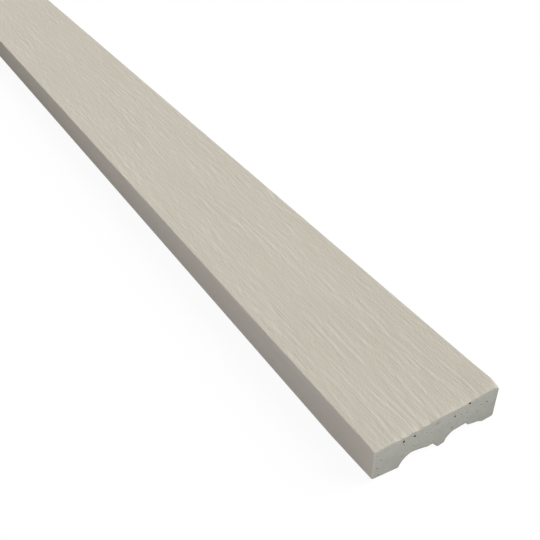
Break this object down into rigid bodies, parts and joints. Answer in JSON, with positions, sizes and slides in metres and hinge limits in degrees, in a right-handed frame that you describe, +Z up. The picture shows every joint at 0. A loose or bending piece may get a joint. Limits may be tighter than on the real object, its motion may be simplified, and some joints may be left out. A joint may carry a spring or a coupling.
{
  "type": "fibre cement trim board",
  "caption": "Long flat fibre cement trim board with a wood-grain face, square sawn ends and relief grooves along its back, for facing corners, openings and eaves.",
  "frame": {"origin": "middle of the back, in the plane of the flat strips that the board lies on", "axes": "+X along the length towards the end shown in the picture, +Y across the width towards the narrower land of the back, +Z up through the thickness to the grained face"},
  "size_m": [3.6576, 0.0888, 0.0254],
  "materials": {
    "fibre_cement": "matte"
  },
  "bodies": {
    "root": {"trim_board": "fibre_cement"}
  },
  "joints": []
}
